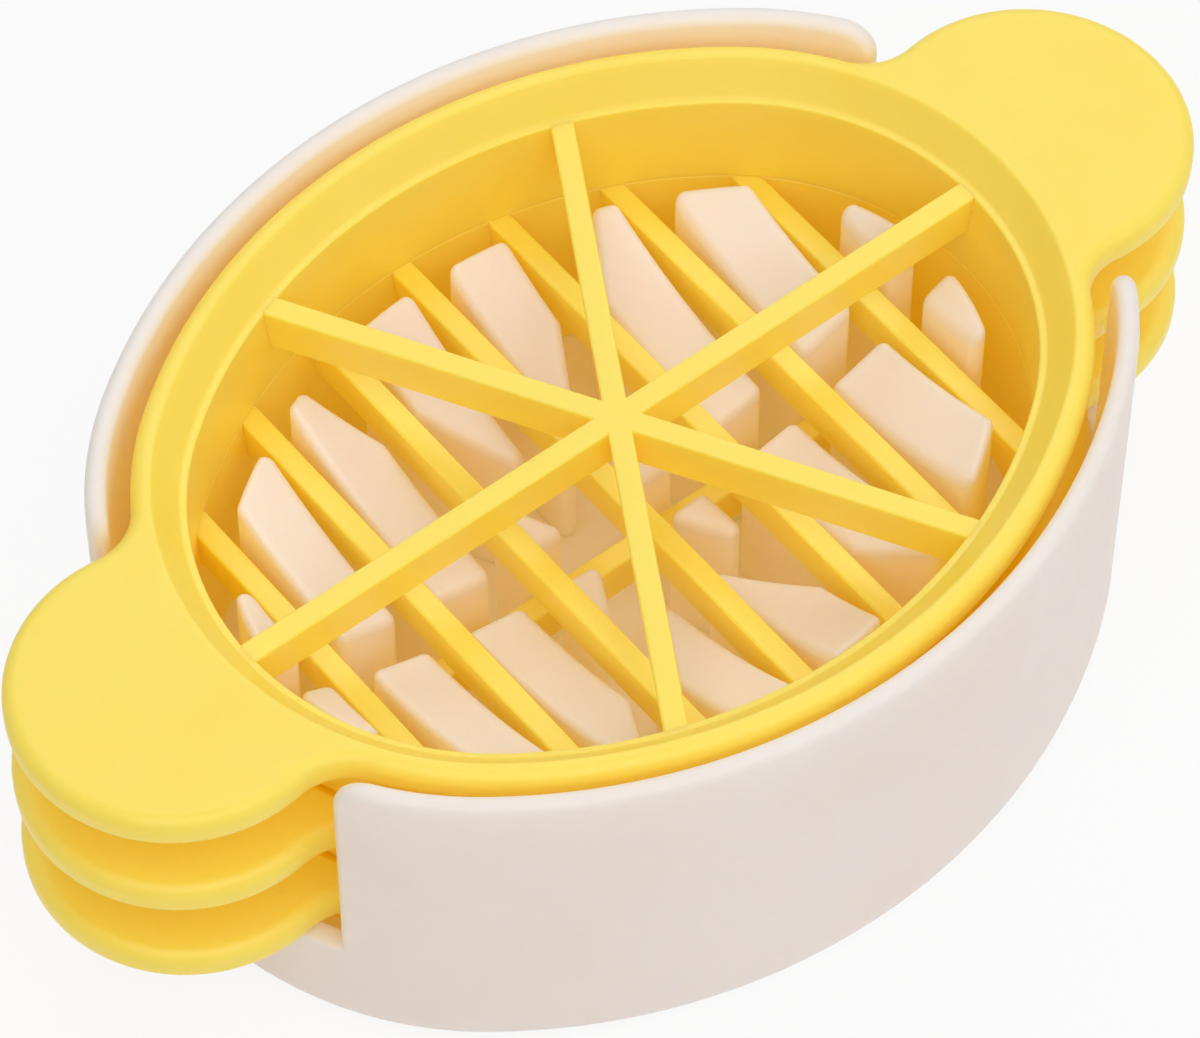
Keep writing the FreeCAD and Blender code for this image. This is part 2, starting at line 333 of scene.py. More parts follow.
def moulded_plastic(name, plain, dense, roughness, light_share, light_depth, light_reach, glow,
                    painted_glow_strength, painted_bounce_glow=None):
    """Plastic with slow flow marks in its colour, a satin grain, light under its skin and a faint painted
    glow that stands in for light through the plastic and lifts its shade.
    """
    flow_share = 0.75
    grain_share = 0.6
    roughness_spread = 0.1
    material, nodes = new_material(name)
    place = nodes.add("ShaderNodeTexCoord").out("Object")
    flow = nodes.add("ShaderNodeTexNoise", {"noise_dimensions": "3D"}, {
        "Vector": place, "Scale": 55.0, "Detail": 3.0, "Roughness": 0.5, "Distortion": 0.6})
    cloud = nodes.add("ShaderNodeTexNoise", {}, {"Vector": place, "Scale": 320.0, "Detail": 2.0})
    grain = nodes.add("ShaderNodeTexNoise", {}, {"Vector": place, "Scale": 5200.0, "Detail": 1.0})
    streaks = flow * flow_share + cloud * (1 - flow_share)
    marks = nodes.add("ShaderNodeMapRange", {"clamp": True},
                      {"Value": streaks, "From Min": 0.35, "From Max": 0.65})
    relief = grain * grain_share + cloud * (1 - grain_share)
    bump = nodes.add("ShaderNodeBump", {}, {"Strength": 0.12, "Distance": 0.00002, "Height": relief})
    # Painted glow: an even emission colour that stands in for light through the plastic and lifts its shade
    through = tuple(glow)
    # Painted bounce light: where the shelter attribute is high, the glow turns to the amber of light thrown
    # by the yellow frames
    if painted_bounce_glow is not None:
        shelter = nodes.add("ShaderNodeAttribute", {"attribute_name": "shelter"}).out("Fac")
        through = nodes.shade(shelter, glow, painted_bounce_glow)
    shader = nodes.add("ShaderNodeBsdfPrincipled", {"subsurface_method": "RANDOM_WALK"}, {
        "Base Color": nodes.shade(marks, plain, dense),
        "Roughness": roughness - roughness_spread / 2 + cloud * roughness_spread,
        "IOR": 1.49,
        "Subsurface Weight": light_share,
        "Subsurface Radius": light_reach,
        "Subsurface Scale": light_depth,
        "Emission Color": through,
        "Emission Strength": painted_glow_strength,
        "Normal": bump,
    })
    nodes.add("ShaderNodeOutputMaterial", {}, {"Surface": shader})
    return material


def yellow_plastic(finish):
    """The cutting frames' yellow plastic, made once."""
    # The yellow plastic carries a painted glow, an even amber emission that stands in for light through it
    # and lifts its shade
    return bpy.data.materials.get("yellow plastic") or moulded_plastic(
        "yellow plastic", plain=finish.yellow, dense=finish.yellow_deep, roughness=0.38, light_share=0.6,
        light_depth=0.0022, light_reach=(1.0, 0.7, 0.3), glow=finish.yellow_painted_glow, painted_glow_strength=0.1)


def white_plastic(finish):
    """The bowl's white plastic, made once."""
    # The white plastic carries a painted glow, plus painted amber bounce light where the shelter attribute
    # is high
    return bpy.data.materials.get("white plastic") or moulded_plastic(
        "white plastic", plain=finish.white, dense=finish.white_warm, roughness=0.42, light_share=0.8,
        light_depth=0.003, light_reach=(1.0, 0.8, 0.65), glow=finish.white_painted_glow, painted_glow_strength=0.2,
        painted_bounce_glow=finish.painted_bounce_glow)


class Oval:
    """Oval of four tangent arcs. Parallel ovals share its centres: an offset only changes the radii."""

    def __init__(self, half_length, half_width, end_angle):
        slope = math.tan(end_angle)
        self.turn = end_angle
        self.end_centre = (half_length - half_width) / (1 + slope - 1 / math.cos(end_angle))
        self.side_centre = self.end_centre * slope
        self.end_radius = half_length - self.end_centre
        self.side_radius = half_width + self.side_centre

    def arc(self, heading):
        """Centre and radius of the arc that faces the heading."""
        across = math.cos(heading)
        along = math.sin(heading)
        if abs(across) >= math.cos(self.turn):
            return math.copysign(self.end_centre, across), 0.0, self.end_radius
        return 0.0, -math.copysign(self.side_centre, along), self.side_radius

    def point(self, heading, offset=0.0):
        """Point that faces the heading, moved outwards by the offset."""
        x, y, radius = self.arc(heading)
        return x + (radius + offset) * math.cos(heading), y + (radius + offset) * math.sin(heading)

    def joint(self):
        """Point where an end arc meets a side arc."""
        return self.point(self.turn)

    def ray(self, angle):
        """Distance from the middle to the oval along a ray."""
        across = abs(math.cos(angle))
        along = abs(math.sin(angle))
        joint_x, joint_y = self.joint()
        if math.atan2(along, across) < math.atan2(joint_y, joint_x):
            aside = self.end_centre * along
            return self.end_centre * across + math.sqrt(self.end_radius ** 2 - aside ** 2)
        aside = self.side_centre * across
        return math.sqrt(self.side_radius ** 2 - aside ** 2) - self.side_centre * along


def opening_oval(rim):
    """Oval of the egg opening."""
    return Oval(rim.opening_length / 2, rim.opening_width / 2, rim.end_angle)


def blade_spacing(rim, blade):
    """Distance between the middles of two slicing blades."""
    return rim.opening_length / (blade.count - 1 + 2 * blade.end_share)


def between(first, second, share):
    """Point at this share of the way from the first to the second."""
    return first[0] + (second[0] - first[0]) * share, first[1] + (second[1] - first[1]) * share


def spread(start, stop, radius, spacing):
    """Angles from start up to, not including, stop, about the spacing apart on an arc."""
    count = max(2, round(abs(stop - start) * radius / spacing))
    return [start + (stop - start) * index / count for index in range(count)]


def quarter_turn(steps):
    """Angles from nothing to a right angle."""
    return [math.pi / 2 * step / steps for step in range(steps + 1)]


def rounded_path(corners, steps=5, support=0.00005):
    """Points along an open line of corners (u, v, radius), rounded, with a support beside each rounding."""
    points = []
    for index, (u, v, radius) in enumerate(corners):
        here = Vector((u, v))
        if radius == 0:
            points.append(here)
            continue
        back = (Vector(corners[index - 1][:2]) - here).normalized()
        ahead = (Vector(corners[index + 1][:2]) - here).normalized()
        half = back.angle(ahead) / 2
        reach = radius / math.tan(half)
        centre = here + (back + ahead).normalized() * (radius / math.sin(half))
        first = here + back * reach - centre
        last = here + ahead * reach - centre
        sweep = math.pi - 2 * half
        points.append(here + back * (reach + min(support, radius)))
        for step in range(steps + 1):
            share = step / steps
            mixed = first * math.sin((1 - share) * sweep) + last * math.sin(share * sweep)
            points.append(centre + mixed / math.sin(sweep))
        points.append(here + ahead * (reach + min(support, radius)))
    return [(point.x, point.y) for point in points]


class Skin:
    """Collects the points and faces of one piece."""

    def __init__(self):
        self.points = []
        self.shelter = []
        self.faces = []

    def row(self, points, shelter=0.0):
        """Adds a row of points, as sheltered as this from open light, and gives their numbers; the shelter
        sets how much painted bounce light the white plastic shows there.
        """
        first = len(self.points)
        self.points.extend(points)
        self.shelter += [shelter] * len(points)
        return list(range(first, len(self.points)))

    def bridge(self, lower, upper, closed=True):
        """Faces between two rows of equal length."""
        count = len(lower)
        for index in range(count if closed else count - 1):
            after = (index + 1) % count
            self.faces.append((lower[index], lower[after], upper[after], upper[index]))

    def join(self, rows, closed=True):
        """Faces between each row and the next."""
        for row, following in zip(rows[:-1], rows[1:]):
            self.bridge(row, following, closed)

    def cap(self, row):
        """One flat face over a row."""
        self.faces.append(tuple(row))

    def volume(self):
        """Signed volume, negative where the faces point inwards."""
        total = 0.0
        for face in self.faces:
            first = Vector(self.points[face[0]])
            for second, third in zip(face[1:-1], face[2:]):
                total += first.dot(Vector(self.points[second]).cross(Vector(self.points[third])))
        return total / 6

    def piece(self, name, crease):
        """The finished object: faces outwards, smooth but for edges that turn by more than the crease."""
        if self.volume() < 0:
            self.faces = [tuple(reversed(face)) for face in self.faces]
        mesh = bpy.data.meshes.new(name)
        mesh.from_pydata(self.points, [], self.faces)
        if mesh.validate():
            raise RuntimeError("%s had faulty faces" % name)
        mesh.shade_smooth()
        mesh.set_sharp_from_angle(angle=crease)
        # The shelter values are the mask for the painted bounce light in the material
        if any(self.shelter):
            mesh.attributes.new("shelter", "FLOAT", "POINT").data.foreach_set("value", self.shelter)
        return add_object(name, mesh)


def add_object(name, mesh):
    """Puts a mesh into the scene at the origin."""
    piece = bpy.data.objects.new(name, mesh)
    bpy.context.scene.collection.objects.link(piece)
    return piece


def dress(piece, material, body, nodes):
    """Gives a piece its plastic, its body and the solids it stands for."""
    piece.data.materials.clear()
    piece.data.materials.append(material)
    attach(piece, body)
    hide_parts(*nodes)


def rim_stations(rim):
    """Points round a frame's outer edge: x, y, outward direction and heading on the opening's oval."""
    oval = opening_oval(rim)
    rim_radius = oval.end_radius + rim.reach
    ear_centre = rim.ear_tip - rim.ear_radius
    apart = ear_centre - oval.end_centre
    to_rim = rim_radius + rim.neck_radius
    to_ear = rim.ear_radius + rim.neck_radius
    neck_x = (to_rim ** 2 - to_ear ** 2 + apart ** 2) / (2 * apart)
    neck_y = math.sqrt(to_rim ** 2 - neck_x ** 2)
    from_ear = math.atan2(neck_y, neck_x - apart)
    from_rim = math.atan2(neck_y, neck_x)
    bends = []
    for turn in spread(0.0, from_ear, rim.ear_radius, EAR_SPACING):
        across, along = math.cos(turn), math.sin(turn)
        bends.append((ear_centre + rim.ear_radius * across, rim.ear_radius * along, across, along))
    for turn in spread(from_ear + math.pi, from_rim + math.pi, rim.neck_radius, NECK_SPACING):
        across, along = math.cos(turn), math.sin(turn)
        x = oval.end_centre + neck_x + rim.neck_radius * across
        bends.append((x, neck_y + rim.neck_radius * along, -across, -along))
    quarter = [(*bend, math.atan2(bend[1], bend[0] - oval.end_centre)) for bend in bends]
    headings = spread(from_rim, oval.turn, rim_radius, END_SPACING)
    headings += spread(oval.turn, math.pi / 2, oval.side_radius + rim.reach, SIDE_SPACING)
    for heading in headings + [math.pi / 2]:
        x, y = oval.point(heading, rim.reach)
        quarter.append((x, y, math.cos(heading), math.sin(heading), heading))
    half = quarter + [(-x, y, -across, along, math.pi - heading)
                      for x, y, across, along, heading in reversed(quarter[1:-1])]
    return half + [(-x, -y, -across, -along, heading + math.pi) for x, y, across, along, heading in half]


def rim_rows(rim, crest):
    """Rows of a rim's section: rings beside the opening, flats out to the edge and rows round the edge."""
    seat = crest - rim.thickness
    land = seat + rim.land_height
    low = RIM_LOW[2] - RIM_HIGH[2] + crest
    crest_inner = rim.reach - rim.edge_round - rim.crest_land
    crest_share = 0.8
    inside = rounded_path([
        (rim.skirt + 2 * rim.root_round, seat, 0),
        (rim.skirt, seat, rim.root_round),
        (rim.skirt, low + rim.skirt_chamfer, rim.taper_round),
        (rim.skirt_seat, low, rim.seat_round),
        (0.0, low, rim.seat_round),
        (0.0, land, rim.lip_round),
        (rim.land_width, land, rim.land_round),
        (crest_inner, crest, rim.crest_round),
        (crest_inner + rim.crest_land * crest_share, crest, 0),
    ])
    rows = [("ring", distance, height) for distance, height in inside]
    rows += [("flat", share, crest, inside[-1][0]) for share in RIM_FLAT]
    for turn in quarter_turn(EDGE_STEPS):
        inwards = rim.edge_round * (1 - math.sin(turn))
        rows.append(("edge", inwards, crest - rim.edge_round * (1 - math.cos(turn))))
    rows.append(("edge", 0.0, crest - rim.thickness / 2))
    for turn in quarter_turn(EDGE_STEPS):
        inwards = rim.edge_round * (1 - math.cos(turn))
        rows.append(("edge", inwards, seat + rim.edge_round * (1 - math.sin(turn))))
    rows += [("flat", share, seat, inside[0][0]) for share in reversed(RIM_FLAT)]
    return rows


def rim_piece(rim, crest, name):
    """One closed rim with both ears."""
    oval = opening_oval(rim)
    stations = rim_stations(rim)
    skin = Skin()
    rings = []
    for kind, amount, height, *start in rim_rows(rim, crest):
        points = []
        for x, y, across, along, heading in stations:
            if kind == "ring":
                px, py = oval.point(heading, amount)
            elif kind == "edge":
                px, py = x - amount * across, y - amount * along
            else:
                rounding = (x - rim.edge_round * across, y - rim.edge_round * along)
                px, py = between(oval.point(heading, start[0]), rounding, amount)
            points.append((px, py, height))
        rings.append(skin.row(points))
    skin.join(rings + rings[:1])
    return skin.piece(name, SHELL_CREASE)


def blade_levels(blade, top):
    """Half widths and heights down the side of a blade, from the flat top to the flat cutting edge."""
    bottom = top - blade.depth
    half = blade.width / 2
    edge = blade.edge_width / 2
    rounding = blade.corner_round
    path = rounded_path([(0.0, top, 0), (half, top, rounding), (edge, bottom, rounding), (0.0, bottom, 0)])
    return path[1:-1]


def spokes(blade, oval, top, angles, name):
    """Blades that run out from the middle at these angles, joined in one flat-topped piece."""
    skin = Skin()
    rows = []
    for half, height in blade_levels(blade, top):
        points = []
        for index, angle in enumerate(angles):
            gap = (angle - angles[index - 1]) % math.tau
            corner = half / math.sin(gap / 2)
            bisector = angle - gap / 2
            points.append((corner * math.cos(bisector), corner * math.sin(bisector), height))
            reach = oval.ray(angle) + blade.sink
            for side in (-half, half):
                points.append((reach * math.cos(angle) - side * math.sin(angle),
                               reach * math.sin(angle) + side * math.cos(angle), height))
        rows.append(skin.row(points))
    skin.join(rows[::-1])
    for row in (rows[0], rows[-1]):
        middle = skin.row([(0.0, 0.0, skin.points[row[0]][2])])[0]
        for index in range(len(angles)):
            corner, right, left = row[3 * index:3 * index + 3]
            beyond = row[(3 * index + 3) % len(row)]
            face = (middle, corner, right, left, beyond)
            skin.faces.append(face if row is rows[0] else tuple(reversed(face)))
    return skin.piece(name, BLADE_CREASE)


def blade_tree(values):
    """Geometry Nodes tree: a row of parallel blades, each as long as the oval is wide at its place."""
    tree = bpy.data.node_groups.new("Row of blades", "GeometryNodeTree")
    kinds = {int: "NodeSocketInt", float: "NodeSocketFloat"}
    sockets = {}
    for label, value in values.items():
        kind = kinds.get(type(value), "NodeSocketMaterial")
        sockets[label] = tree.interface.new_socket(label, in_out="INPUT", socket_type=kind).identifier
    tree.interface.new_socket("Blades", in_out="OUTPUT", socket_type="NodeSocketGeometry")
    nodes = Nodes(tree)
    sizes = nodes.add("NodeGroupInput")
    count = sizes.out("Count")
    spacing = sizes.out("Spacing")
    first = (1 - count) * spacing / 2
    level = sizes.out("Top") - sizes.out("Depth") / 2
    start = nodes.add("ShaderNodeCombineXYZ", {}, {0: first, 2: level})
    step = nodes.add("ShaderNodeCombineXYZ", {}, {0: spacing})
    places = nodes.add("GeometryNodeMeshLine", {"mode": "OFFSET"},
                       {"Count": count, "Start Location": start, "Offset": step})
    section = nodes.add("GeometryNodeCurvePrimitiveQuadrilateral", {"mode": "TRAPEZOID"},
                        {"Height": sizes.out("Depth"), "Bottom Width": sizes.out("Width"),
                         "Top Width": sizes.out("Edge width"), "Offset": 0.0})
    rounded = nodes.add("GeometryNodeFilletCurve", {"mode": "POLY"},
                        {"Curve": section, "Count": 6, "Radius": sizes.out("Corner rounding")})
    run = nodes.add("GeometryNodeCurvePrimitiveLine", {}, {"Start": (0, -1, 0), "End": (0, 1, 0)})
    upright = nodes.add("GeometryNodeSetCurveNormal", {"mode": "Z_UP"}, {"Curve": run})
    bar = nodes.add("GeometryNodeCurveToMesh", {},
                    {"Curve": upright, "Profile Curve": rounded, "Fill Caps": True})
    place = nodes.add("GeometryNodeInputPosition")
    across = abs(nodes.add("ShaderNodeSeparateXYZ", {}, {0: place}))
    past_centre = across - sizes.out("End centre")
    end_radius = sizes.out("End radius")
    side_radius = sizes.out("Side radius")
    to_end = (end_radius * end_radius - past_centre * past_centre).root()
    to_side = (side_radius * side_radius - across * across).root() - sizes.out("Side centre")
    at_end = across > sizes.out("Arc joint")
    half_run = at_end * to_end + (1 - at_end) * to_side + sizes.out("Sink")
    stretch = nodes.add("ShaderNodeCombineXYZ", {}, {0: 1.0, 1: half_run, 2: 1.0})
    blades = nodes.add("GeometryNodeInstanceOnPoints", {},
                       {"Points": places, "Instance": bar, "Scale": stretch})
    real = nodes.add("GeometryNodeRealizeInstances", {}, {0: blades})
    dressed = nodes.add("GeometryNodeSetMaterial", {},
                        {"Geometry": real, "Material": sizes.out("Plastic")})
    nodes.add("NodeGroupOutput", {}, {0: dressed})
    return tree, sockets


def row_of_blades(settings, top, name):
    """The slicing frame's parallel blades, baked to a plain mesh."""
    rim, blade = settings.rim, settings.blade
    oval = opening_oval(rim)
    values = {
        "Count": blade.count,
        "Spacing": blade_spacing(rim, blade),
        "Width": blade.width,
        "Edge width": blade.edge_width,
        "Depth": blade.depth,
        "Corner rounding": blade.corner_round,
        "Sink": blade.sink,
        "Top": top,
        "End centre": oval.end_centre,
        "End radius": oval.end_radius,
        "Side centre": oval.side_centre,
        "Side radius": oval.side_radius,
        "Arc joint": oval.joint()[0],
        "Plastic": yellow_plastic(settings.finish),
    }
    tree, sockets = blade_tree(values)
    carrier = add_object("blade carrier", bpy.data.meshes.new("blade carrier"))
    modifier = carrier.modifiers.new("Row of blades", "NODES")
    modifier.node_group = tree
    for label, value in values.items():
        modifier[sockets[label]] = value
    shaped = carrier.evaluated_get(bpy.context.evaluated_depsgraph_get())
    mesh = bpy.data.meshes.new_from_object(shaped)
    carrier.modifiers.remove(modifier)
    bpy.data.objects.remove(carrier)
    mesh.name = name
    if not mesh.polygons:
        raise RuntimeError("The row of blades came out empty")
    return add_object(name, mesh)


def wall_rows(bowl, oval):
    """Rows of the wall from the sill up: heading beside the notch, height and turn towards the brim."""
    middle_radius = oval.end_radius - bowl.wall / 2
    edge = math.asin(bowl.half_notch / middle_radius) + bowl.brim_round / middle_radius
    bend = bowl.notch_round - bowl.brim_round
    bend_start = bowl.height - bowl.notch_round
    levels = [0.0, 0.02, 0.1, 0.25, 0.4, 0.55, 0.7, 0.82, 0.9, 0.96]
    rows = [(edge, bowl.sill + (bend_start - bowl.sill) * share, 0.0) for share in levels]
    for turn in quarter_turn(EDGE_STEPS):
        heading = edge + bend * (1 - math.cos(turn)) / middle_radius
        rows.append((heading, bend_start + bend * math.sin(turn), turn))
    return rows


def bowl_piece(bowl, end_angle, name):
    """Bowl with a rounded foot, a full-round brim and a notch for the ears at both ends."""
    oval = Oval(bowl.half_length, bowl.half_width, end_angle)
    rows = wall_rows(bowl, oval)
    wall_angle = rows[0][0]
    middle = -bowl.wall / 2
    skin = Skin()

    def at(heading, offset, height):
        x, y = oval.point(heading, offset)
        return x, y, height

    def along_wall(heading):
        """Headings along a wall that starts and ends at this heading beside a notch."""
        span = math.pi - 2 * heading
        return [heading + span * index / WALL_COLUMNS for index in range(WALL_COLUMNS + 1)]

    def along_notch(limit):
        """Headings inside a notch, from limit to limit, without its ends."""
        return [-limit + 2 * limit * index / NOTCH_COLUMNS for index in range(1, NOTCH_COLUMNS)]

    def wall(turned):
        """Both faces of the wall on one side and the rounding over its free edge."""
        outside, inside, border = [], [], []
        for start, height, _ in rows:
            headings = [turned + heading for heading in along_wall(start)]
            outside.append(skin.row([at(heading, 0.0, height) for heading in headings]))
            # The wall's inside gets the full painted bounce light
            inside.append(skin.row([at(heading, -bowl.wall, height) for heading in headings], shelter=1.0))
            border.append(headings)
        skin.join(outside, closed=False)
        skin.join(inside[::-1], closed=False)
        loop = [(index, 0, -math.cos(row[2]), math.sin(row[2])) for index, row in enumerate(rows)]
        far_end = [(row, WALL_COLUMNS, -sideways, upwards) for row, _, sideways, upwards in reversed(loop)]
        loop += [(len(rows) - 1, column, 0.0, 1.0) for column in range(1, WALL_COLUMNS)]
        loop += far_end
        strips = [[outside[row][column] for row, column, _, _ in loop]]
        for step in range(1, BRIM_STEPS):
            turn = math.pi * step / BRIM_STEPS
            bulge = bowl.brim_round * math.sin(turn)
            points = []
            for row, column, sideways, upwards in loop:
                heading = border[row][column]
                aside = sideways * bulge
                x, y, height = at(heading, middle + bowl.wall / 2 * math.cos(turn), rows[row][1])
                points.append((x - math.sin(heading) * aside, y + math.cos(heading) * aside,
                               height + upwards * bulge))
            # The brim's inner half takes part of the painted bounce light, its outer half none
            strips.append(skin.row(points, shelter=max(0.0, -math.cos(turn))))
        strips.append([inside[row][column] for row, column, _, _ in loop])
        skin.join(strips, closed=False)
        return outside[0], inside[0], [strip[0] for strip in strips], [strip[-1] for strip in strips]

    def sill(start, stop, turned):
        """Flat floor of a notch, from the end of one wall to the start of the next."""
        lines = []
        for step, (first, last) in enumerate(zip(start, stop)):
            turn = math.pi * step / BRIM_STEPS
            offset = middle + bowl.wall / 2 * math.cos(turn)
            limit = wall_angle - bowl.brim_round * math.sin(turn) / (oval.end_radius + offset)
            points = [at(turned + heading, offset, bowl.sill) for heading in along_notch(limit)]
            lines.append([first] + skin.row(points) + [last])
        skin.join(lines, closed=False)
        return lines[0][1:-1], lines[-1][1:-1]

    back_out, back_in, back_first, back_last = wall(0.0)
    front_out, front_in, front_first, front_last = wall(math.pi)
    left_out, left_in = sill(back_last, front_first, math.pi)
    right_out, right_in = sill(front_last, back_first, 0.0)
    ring_out = back_out + left_out + front_out + right_out
    ring_in = back_in + left_in + front_in + right_in
    side = along_wall(wall_angle)
    notch = along_notch(wall_angle)
    headings = side + [math.pi + heading for heading in notch + side] + notch

    def lower(ring, path, shelter):
        """Rows below the sill, then rows that close in over the flat."""
        outlines = [[at(heading, offset, height) for heading in headings] for offset, height in path]
        flat = outlines[-1]
        outlines += [[(x * share, y * share, height) for x, y, height in flat] for share in BOWL_FLAT]
        rings = [ring] + [skin.row(outline, shelter) for outline in outlines]
        skin.join(rings)
        skin.cap(rings[-1])

    support = 0.0004
    foot = rounded_path([(0.0, bowl.sill, 0), (0.0, 0.0, bowl.foot_round), (-bowl.foot_reach, 0.0, 0)],
                        steps=12, support=support)
    corner = rounded_path([(-bowl.wall, bowl.sill, 0),
                           (-bowl.wall, bowl.floor, bowl.foot_round - bowl.wall),
                           (-bowl.foot_reach, bowl.floor, 0)], steps=8, support=support)
    # The bowl's inner floor gets the full painted bounce light, the outside none
    lower(ring_in, [(-bowl.wall, bowl.sill - SUPPORT)] + corner[1:], shelter=1.0)
    start = len(skin.faces)
    lower(ring_out, [(0.0, bowl.sill - SUPPORT)] + foot[1:], shelter=0.0)
    skin.faces[start:] = [tuple(reversed(face)) for face in skin.faces[start:]]
    return skin.piece(name, SHELL_CREASE)


def clipped(outline, across, along, limit):
    """The part of a convex outline where across * x + along * y is at least the limit."""
    kept = []
    for index, here in enumerate(outline):
        before = outline[index - 1]
        inside = across * here[0] + along * here[1] - limit
        was_inside = across * before[0] + along * before[1] - limit
        if (inside >= 0) != (was_inside >= 0):
            kept.append(between(before, here, was_inside / (was_inside - inside)))
        if inside >= 0:
            kept.append(here)
    return kept


def plan_area(outline):
    """Area inside an outline."""
    total = 0.0
    for index, here in enumerate(outline):
        before = outline[index - 1]
        total += before[0] * here[1] - here[0] * before[1]
    return abs(total) / 2


def cradle_cells(settings, inset):
    """Plans of the cells between the grooves that are large enough for a block, pulled in by the inset."""
    rim, blade, cradle = settings.rim, settings.blade, settings.cradle
    half_length = rim.opening_length / 2 - cradle.end_gap
    half_width = rim.opening_width / 2 - cradle.side_gap
    oval = Oval(half_length, half_width, rim.end_angle)
    spacing = blade_spacing(rim, blade)
    places = [(index - (blade.count - 1) / 2) * spacing for index in range(blade.count)]
    angles = (0.0, blade.wedge_angle, -blade.wedge_angle)
    lines = [(-math.sin(angle), math.cos(angle)) for angle in angles]

    def plan(column, sides, pull):
        """Plan of the cell in a column, on these sides of the spokes, pulled in."""
        reach = cradle.groove / 2 + pull
        outline = [oval.point(math.tau * index / PLAN_POINTS, -pull) for index in range(PLAN_POINTS)]
        if column > 0:
            outline = clipped(outline, 1.0, 0.0, places[column - 1] + reach)
        if column < blade.count:
            outline = clipped(outline, -1.0, 0.0, -places[column] + reach)
        for index, (across, along) in enumerate(lines):
            sign = 1 if sides >> index & 1 else -1
            outline = clipped(outline, sign * across, sign * along, reach)
        return outline

    cells = []
    for column in range(blade.count + 1):
        for sides in range(2 ** len(lines)):
            whole = plan(column, sides, 0.0)
            if len(whole) > 2 and plan_area(whole) >= cradle.smallest_plan:
                cells.append(plan(column, sides, inset))
                if len(cells[-1]) < 3:
                    raise RuntimeError("A cradle block is too small for its corner rounding")
    return cells


def rounded_border(core, spacing):
    """Points along a convex core with their outward directions, fanned out at its corners."""
    merge_distance = 1e-6
    fan_step = math.radians(9)
    corners = [point for index, point in enumerate(core)
               if math.dist(point, core[index - 1]) > merge_distance]
    sides = list(zip(corners, corners[1:] + corners[:1]))
    headings = [math.atan2(here[0] - after[0], after[1] - here[1]) for here, after in sides]
    border = []
    for index, (here, after) in enumerate(sides):
        before = headings[index - 1]
        turn = (headings[index] - before) % math.tau
        turn = turn if turn < math.pi else turn - math.tau
        steps = max(1, math.ceil(turn / fan_step))
        border += [(here, before + turn * step / steps) for step in range(steps + 1)]
        pieces = int(math.dist(here, after) / spacing)
        border += [(between(here, after, piece / pieces), headings[index]) for piece in range(1, pieces)]
    return border


def grown(border, reach):
    """Outline that lies this far outside a border."""
    return [(x + reach * math.cos(heading), y + reach * math.sin(heading)) for (x, y), heading in border]


def cradle_piece(settings, name):
    """All the cradle's blocks, with dished tops, rounded edges and rounded upright corners."""
    cradle, bowl = settings.cradle, settings.bowl
    skin = Skin()

    def dish(x, y):
        across = math.sqrt(cradle.long_radius ** 2 - x * x) - cradle.long_radius + cradle.cross_radius
        return cradle.dish_low + cradle.cross_radius - math.sqrt(across ** 2 - y * y)

    def under_dish(outline, drop, shelter=0.0):
        """A row that runs this far below the dish."""
        return skin.row([(x, y, dish(x, y) - drop) for x, y in outline], shelter)

    for core in cradle_cells(settings, cradle.corner_round):
        border = rounded_border(core, BLOCK_SPACING)
        middle = [sum(point[axis] for point, _ in border) / len(border) for axis in (0, 1)]
        side = grown(border, cradle.corner_round)
        # The blocks' sides get the full painted bounce light up to the shelter depth, half at the top
        # rounding, none on the tops
        rows = [skin.row([(x, y, bowl.floor - BLOCK_SINK) for x, y in side], shelter=1.0)]
        rows.append(under_dish(side, cradle.shelter_depth, shelter=1.0))
        rows.append(under_dish(side, cradle.top_round + SUPPORT, shelter=0.5))
        for turn in quarter_turn(BLOCK_EDGE_STEPS):
            inset = cradle.top_inset * (1 - math.cos(turn))
            drop = cradle.top_round * (1 - math.sin(turn))
            rows.append(under_dish(grown(border, cradle.corner_round - inset), drop))
        top = grown(border, cradle.corner_round - cradle.top_inset)
        for share in BLOCK_FLAT:
            rows.append(under_dish([between(middle, point, share) for point in top], 0.0))
        skin.join(rows)
        skin.cap(reversed(rows[0]))
        skin.cap(rows[-1])
    return skin.piece(name, BLOCK_CREASE)


def solids(start):
    """Names of the solids that start with these words."""
    return sorted(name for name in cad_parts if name.startswith(start))


class EGGSLICER_OT_bowl(Operator):
    """Build the white bowl with its rounded brim and the notches for the ears"""
    bl_idname = "eggslicer.bowl"
    bl_label = "Bowl"

    def execute(self, context):
        settings = context.scene.egg_slicer
        piece = bowl_piece(settings.bowl, settings.rim.end_angle, "bowl")
        dress(piece, white_plastic(settings.finish), "base", ["base_bowl"])
        return {"FINISHED"}


class EGGSLICER_OT_cradle(Operator):
    """Build the white blocks that hold the egg over the bowl's floor"""
    bl_idname = "eggslicer.cradle"
    bl_label = "Cradle"

    def execute(self, context):
        settings = context.scene.egg_slicer
        piece = cradle_piece(settings, "cradle")
        dress(piece, white_plastic(settings.finish), "base", solids("cradle_block_"))
        return {"FINISHED"}


class EGGSLICER_OT_rims(Operator):
    """Build the three yellow rims with their ears and skirts"""
    bl_idname = "eggslicer.rims"
    bl_label = "Rims"

    def execute(self, context):
        settings = context.scene.egg_slicer
        for body, node in RIM_NODES.items():
            piece = rim_piece(settings.rim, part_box(node)[1][2], body + "_rim")
            dress(piece, yellow_plastic(settings.finish), body, [node])
        return {"FINISHED"}


def blade_top(rim, node):
    """Height of the blades' tops in the frame with this rim, a hair under its land."""
    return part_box(node)[1][2] - rim.thickness + rim.land_height - HAIR


